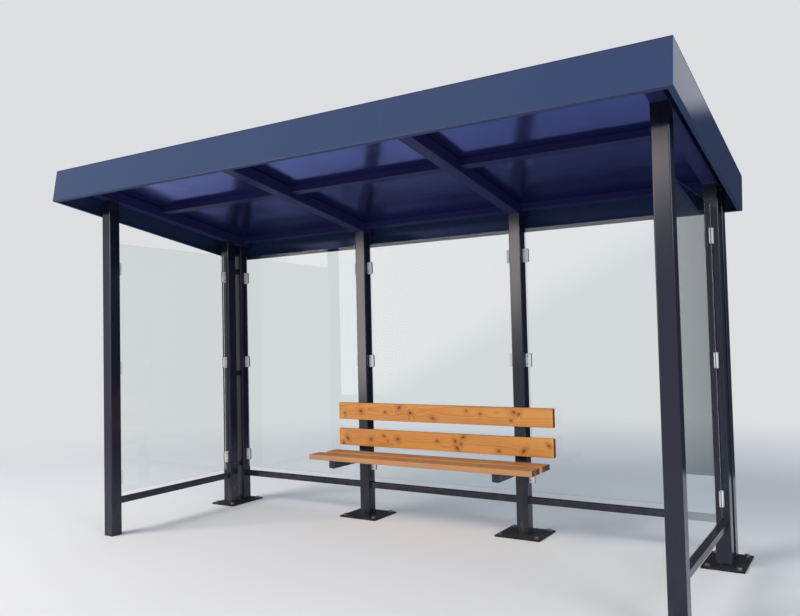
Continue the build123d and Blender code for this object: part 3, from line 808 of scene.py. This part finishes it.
def planed_board(node, finish, seed):
    """A planed board in the place of its node, a little bowed and out of true, with soft edges and ends."""
    low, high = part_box(node)
    middle = (low + high) / 2
    half_w, half_h = (high.y - low.y) / 2, (high.z - low.z) / 2
    edge, arc_steps, stations = 0.005, 4, 90
    end_edge, bow, unevenness, upward_share = 0.004, 0.0003, 0.00008, 0.6
    rng = random.Random(seed)
    waves = [(rng.uniform(0.5, 1.0) * bow / order, order, rng.uniform(0, 6.3)) for order in (1, 2, 3, 7)]
    section = []
    for quarter, (sy, sz) in enumerate(((1, 1), (-1, 1), (-1, -1), (1, -1))):
        for step in range(arc_steps + 1):
            angle = math.pi / 2 * (quarter + step / arc_steps)
            section.append((sy * (half_w - edge) + edge * math.cos(angle),
                            sz * (half_h - edge) + edge * math.sin(angle)))
    shape = bmesh.new()
    loops = []
    ends = [0.0, 0.0006, 0.002, end_edge]
    length = high.x - low.x
    along = ends + [end_edge + (length - 2 * end_edge) * step / stations for step in range(1, stations)]
    along += [length - value for value in reversed(ends)]
    for place_x in along:
        inset = 0.0
        near = min(place_x, length - place_x)
        if near < end_edge:
            inset = end_edge - math.sqrt(max(0.0, end_edge ** 2 - (end_edge - near) ** 2))
        share = place_x / length * math.pi
        sway = sum(size * math.sin(order * share + phase) for size, order, phase in waves)
        loop = []
        for y, z in section:
            narrow_y = y * (1 - inset / half_w)
            narrow_z = z * (1 - inset / half_h)
            fuzz = rng.uniform(-1, 1) * unevenness
            loop.append(shape.verts.new((low.x + place_x, middle.y + narrow_y + sway + fuzz,
                                         middle.z + narrow_z - sway * upward_share + fuzz)))
        loops.append(loop)
    count = len(section)
    for first, second in zip(loops, loops[1:]):
        for step in range(count):
            after = (step + 1) % count
            shape.faces.new((first[step], first[after], second[after], second[step]))
    shape.faces.new(list(reversed(loops[0])))
    shape.faces.new(loops[-1])
    bmesh.ops.recalc_face_normals(shape, faces=shape.faces)
    for face in shape.faces:
        face.smooth = len(face.verts) == 4
    mesh = bpy.data.meshes.new(node)
    shape.to_mesh(mesh)
    shape.free()
    mesh.materials.append(finish)
    piece = show(node + "_timber", mesh)
    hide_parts(node)
    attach(piece, "root")
    return piece


seat_front_low, seat_front_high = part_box("seat_board_front")
seat_rear_low, seat_rear_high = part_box("seat_board_rear")
back_low, back_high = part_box("back_board_lower")
upper_low, upper_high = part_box("back_board_upper")
seat_front_knots = [
    (-0.62, -0.36, 0.009, 1.3, 0.2), (-0.21, -0.40, 0.007, 1.0, 0.0), (0.14, -0.34, 0.010, 1.5, 0.3),
    (0.49, -0.38, 0.008, 1.0, -0.2), (0.72, -0.35, 0.006, 1.2, 0.0)]
seat_rear_knots = [
    (-0.55, -0.20, 0.008, 1.2, 0.1), (-0.11, -0.23, 0.010, 1.6, -0.3), (0.33, -0.18, 0.007, 1.0, 0.2),
    (0.66, -0.22, 0.009, 1.4, 0.0)]
lower_knots = [
    (-0.757, 0.520, 0.010, 1.0, 0.3), (-0.720, 0.555, 0.012, 0.8, 0.4), (-0.518, 0.558, 0.008, 1.2, 0.0),
    (-0.407, 0.585, 0.007, 1.2, 0.3), (-0.374, 0.551, 0.005, 1.0, 0.0), (-0.291, 0.569, 0.009, 1.2, 0.1),
    (0.020, 0.571, 0.006, 1.6, 0.0), (0.157, 0.578, 0.009, 1.0, 0.2), (0.218, 0.607, 0.009, 1.3, -0.4),
    (0.201, 0.561, 0.007, 1.0, 0.0), (0.172, 0.532, 0.012, 0.7, 0.8), (0.475, 0.528, 0.007, 1.1, 0.0),
    (0.647, 0.541, 0.012, 0.8, -0.7), (0.814, 0.581, 0.009, 1.0, 0.4)]
upper_knots = [
    (-0.742, 0.735, 0.007, 1.0, 0.2), (-0.600, 0.754, 0.010, 1.1, 0.0), (-0.394, 0.753, 0.006, 1.4, 0.0),
    (-0.277, 0.786, 0.011, 1.0, -0.3), (-0.188, 0.753, 0.009, 1.2, 0.2), (-0.007, 0.722, 0.009, 1.3, 0.5),
    (0.245, 0.780, 0.006, 1.0, 0.0), (0.347, 0.763, 0.006, 1.2, 0.0), (0.585, 0.782, 0.009, 1.2, 0.2),
    (0.618, 0.770, 0.008, 1.0, -0.3), (0.564, 0.728, 0.006, 1.0, 0.0)]
toward_rear, toward_sky = Vector((0, 1, 0)), Vector((0, 0, 1))
# The seat boards are darker and more weathered than the back boards: partly real wear, partly painted shade
# from the roof over the seat.
worn_and_shaded_pine = (0.45, 0.22, 0.09, 1)
seat_front_pine = pine("pine seat front", seat_front_knots, toward_rear, Early_Wood=worn_and_shaded_pine,
                       Pith_Y=seat_front_low.y + 0.02, Pith_Z=seat_front_low.z - 0.09, Ring=0.005,
                       Shift=3.1, Weathering=0.75)
planed_board("seat_board_front", seat_front_pine, seed=11)
seat_rear_pine = pine("pine seat rear", seat_rear_knots, toward_rear, Early_Wood=worn_and_shaded_pine,
                      Pith_Y=seat_rear_high.y - 0.03, Pith_Z=seat_rear_low.z - 0.08, Ring=0.0045,
                      Shift=7.7, Weathering=0.75)
planed_board("seat_board_rear", seat_rear_pine, seed=12)
lower_pine = pine("pine back lower", lower_knots, toward_sky, Pith_Y=back_high.y + 0.08,
                  Pith_Z=back_low.z + 0.03, Ring=0.005, Shift=12.4, Weathering=0.1)
planed_board("back_board_lower", lower_pine, seed=13)
upper_pine = pine("pine back upper", upper_knots, toward_sky, Pith_Y=upper_high.y + 0.10,
                  Pith_Z=upper_high.z - 0.04, Ring=0.0055, Shift=18.9, Weathering=0.1)
planed_board("back_board_upper", upper_pine, seed=14)

board_washer = turned("board_washer", [
    (0.004, 0, None), (0.0078, 0, None), (0.008, 0.0004, None), (0.008, 0.0012, None),
    (0.0076, 0.0016, None), (0.004, 0.0016, None)])
board_head = turned("board_head", [
    (0.0052, 0.0016, 0.006), (0.0066, 0.0022, 0.006), (0.0068, 0.0036, 0.006), (0.0068, 0.0058, 0.006),
    (0.0056, 0.0068, 0.006), (0.002, 0.0069, None)])
board_screw = joined("board_screw", board_washer, board_head)
board_screw_offsets = (-0.03, 0.03)
board_screw_points, board_screw_tilts = [], []
for hand in ("left", "right"):
    post_low, post_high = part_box("wall_post_" + hand)
    arm_low, arm_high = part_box("bench_arm_" + hand)
    post_x, arm_x = (post_low.x + post_high.x) / 2, (arm_low.x + arm_high.x) / 2
    for low, high in ((back_low, back_high), (upper_low, upper_high)):
        board_screw_points += [(post_x, post_high.y, (low.z + high.z) / 2 + step)
                               for step in board_screw_offsets]
        board_screw_tilts += [(-math.pi / 2, 0, 0)] * 2
    for low, high in ((seat_front_low, seat_front_high), (seat_rear_low, seat_rear_high)):
        board_screw_points += [(arm_x, (low.y + high.y) / 2 + step, arm_low.z)
                               for step in board_screw_offsets]
        board_screw_tilts += [(math.pi, 0, 0)] * 2
fasten("board_screws", board_screw, board_screw_points, bolt_zinc, board_screw_tilts,
       turn=1.0, seed=9)

# Studio
# A pale floor that runs into a pale backdrop, a large soft lamp high at the front left, a weaker
# one at the right and one for the light off the ground, two glowing cards that only gloss shows, as painted
# reflections, and the camera.
backdrop = (0.72, 0.735, 0.76, 1)
sky_light = (0.43, 0.47, 0.56, 1)


def seen_by_eye(tree):
    """One for a ray that shows the surroundings themselves, and nought for one that only lights."""
    path = place(tree, "ShaderNodeLightPath", {}).outputs
    seen = calc(tree, "MAXIMUM", path["Is Camera Ray"], path["Is Glossy Ray"])
    return calc(tree, "MAXIMUM", seen, path["Is Transmission Ray"])


def studio_floor():
    made, tree, principled = material("studio floor")
    spot = here(tree)
    seen = seen_by_eye(tree)
    clouds = noise(tree, spot, 0.6, 3.0)
    pale = tint(tree, clouds, (0.75, 0.75, 0.75, 1), (0.79, 0.79, 0.79, 1))
    tree.links.new(tint(tree, seen, (0.68, 0.68, 0.68, 1), pale), principled.inputs["Base Color"])
    principled.inputs["Roughness"].default_value = 0.9
    principled.inputs["Specular IOR Level"].default_value = 0.1
    away = place(tree, "ShaderNodeVectorMath", [spot], operation="LENGTH").outputs["Value"]
    far = calc(tree, "MULTIPLY", fade(tree, away, 2.4, 7.5), seen)
    glow = place(tree, "ShaderNodeEmission", {"Color": backdrop})
    mixed = place(tree, "ShaderNodeMixShader", {0: far, 1: principled.outputs[0], 2: glow.outputs[0]})
    tree.links.new(mixed.outputs[0], tree.nodes["Material Output"].inputs["Surface"])
    mesh = bpy.data.meshes.new("floor")
    reach = 60.0
    mesh.from_pydata([(-reach, -reach, 0), (reach, -reach, 0), (reach, reach, 0), (-reach, reach, 0)], [],
                     [(0, 1, 2, 3)])
    mesh.materials.append(made)
    show("floor", mesh)


def studio_world():
    world = bpy.data.worlds.new("studio")
    bpy.context.scene.world = world
    world.use_nodes = True
    tree = world.node_tree
    colour = tint(tree, seen_by_eye(tree), sky_light, backdrop)
    tree.links.new(colour, tree.nodes["Background"].inputs["Color"])


def gloss_card(name, left, right, low, high, away, lean, soft, colour, strength, through_glass):
    """A glowing card with soft edges that only gloss shows, a painted reflection and no lamp: a pale one in
    front, a dark one behind the glass.
    """
    soft_top = 0.25
    made, tree, principled = material(name)
    tree.nodes.remove(principled)
    axes = place(tree, "ShaderNodeSeparateXYZ", [here(tree)]).outputs
    floor_line = calc(tree, "MULTIPLY_ADD", axes["X"], -lean, axes["Z"])
    path = place(tree, "ShaderNodeLightPath", {}).outputs
    mask = fade(tree, axes["X"], left, left + soft)
    parts = [fade(tree, axes["X"], right, right - soft), fade(tree, floor_line, low, low + soft),
             fade(tree, axes["Z"], high, high - soft_top), calc(tree, "MINIMUM", path["Glossy Depth"], 1.0)]
    if not through_glass:
        parts.append(calc(tree, "LESS_THAN", path["Transmission Depth"], 0.5))
    for part in parts:
        mask = calc(tree, "MULTIPLY", mask, part)
    glow = place(tree, "ShaderNodeEmission", {"Color": colour, "Strength": strength})
    clear = place(tree, "ShaderNodeBsdfTransparent", {})
    mixed = place(tree, "ShaderNodeMixShader", {0: mask, 1: clear.outputs[0], 2: glow.outputs[0]})
    tree.links.new(mixed.outputs[0], tree.nodes["Material Output"].inputs["Surface"])
    mesh = bpy.data.meshes.new(name)
    mesh.from_pydata([(left, away, -1), (left, away, high), (right, away, high), (right, away, -1)], [],
                     [(0, 1, 2, 3)])
    mesh.materials.append(made)
    card = show(name, mesh)
    card.visible_camera = False
    card.visible_diffuse = False
    card.visible_shadow = False
    card.visible_transmission = through_glass


def soft_lamp(name, spot, aim, width, height, power, colour, in_gloss=True):
    lamp = bpy.data.lights.new(name, "AREA")
    lamp.shape = "RECTANGLE"
    lamp.size, lamp.size_y = width, height
    lamp.energy = power
    lamp.color = colour
    made = bpy.data.objects.new(name, lamp)
    bpy.context.scene.collection.objects.link(made)
    made.location = spot
    made.rotation_euler = (Vector(aim) - Vector(spot)).to_track_quat("-Z", "Y").to_euler()
    made.visible_camera = False
    made.visible_transmission = False
    made.visible_glossy = in_gloss


def photo_camera():
    eye = Vector((2.578, -4.603, 1.263))
    yaw, pitch, roll = 0.5583, 0.0406, -0.0228
    focal_px, frame_px, sensor = 766.04, 800, 36.0
    ahead = Vector((-math.sin(yaw) * math.cos(pitch), math.cos(yaw) * math.cos(pitch), math.sin(pitch)))
    right = Vector((math.cos(yaw), math.sin(yaw), 0))
    above = right.cross(ahead)
    turned_right = math.cos(roll) * right + math.sin(roll) * above
    turned_up = math.cos(roll) * above - math.sin(roll) * right
    data = bpy.data.cameras.new("camera")
    data.sensor_width = sensor
    data.lens = sensor * focal_px / frame_px
    data.clip_end = 200.0
    camera = bpy.data.objects.new("camera", data)
    bpy.context.scene.collection.objects.link(camera)
    axes = Matrix((turned_right, turned_up, -ahead)).transposed().to_4x4()
    camera.matrix_world = Matrix.Translation(eye) @ axes
    bpy.context.scene.camera = camera


studio_floor()
studio_world()
# Painted reflections: the pale card glows for bright surroundings seen in the posts, ceiling and glass; the
# dark card darkens the reflections towards the rear.
gloss_card("pale card", left=-10.6, right=3.0, low=3.0, high=4.4, away=-10.0, lean=0.5, soft=1.2,
           colour=(1.0, 0.93, 0.89, 1), strength=6.2, through_glass=False)
gloss_card("dark card", left=-12.0, right=12.0, low=-2.0, high=3.4, away=2.6, lean=0.0, soft=0.5,
           colour=(0.6, 0.75, 1.0, 1), strength=0.065, through_glass=True)
middle = (Vector(cad_box[0]) + Vector(cad_box[1])) / 2
soft_lamp("key", middle + Vector((-5.0, -7.4, 5.8)), middle, width=6.0, height=4.0, power=1000,
          colour=(1.0, 0.95, 0.88), in_gloss=False)
soft_lamp("fill", middle + Vector((7.0, -3.5, 2.5)), middle, width=3.0, height=3.0, power=190,
          colour=(0.93, 0.96, 1.0))
soft_lamp("bounce", Vector((0, -1.3, 0.02)), Vector((0, -1.3, 2)), width=5.0, height=3.0, power=24,
          colour=(0.93, 0.95, 1.0), in_gloss=False)
photo_camera()
bpy.context.scene.view_settings.view_transform = "Standard"
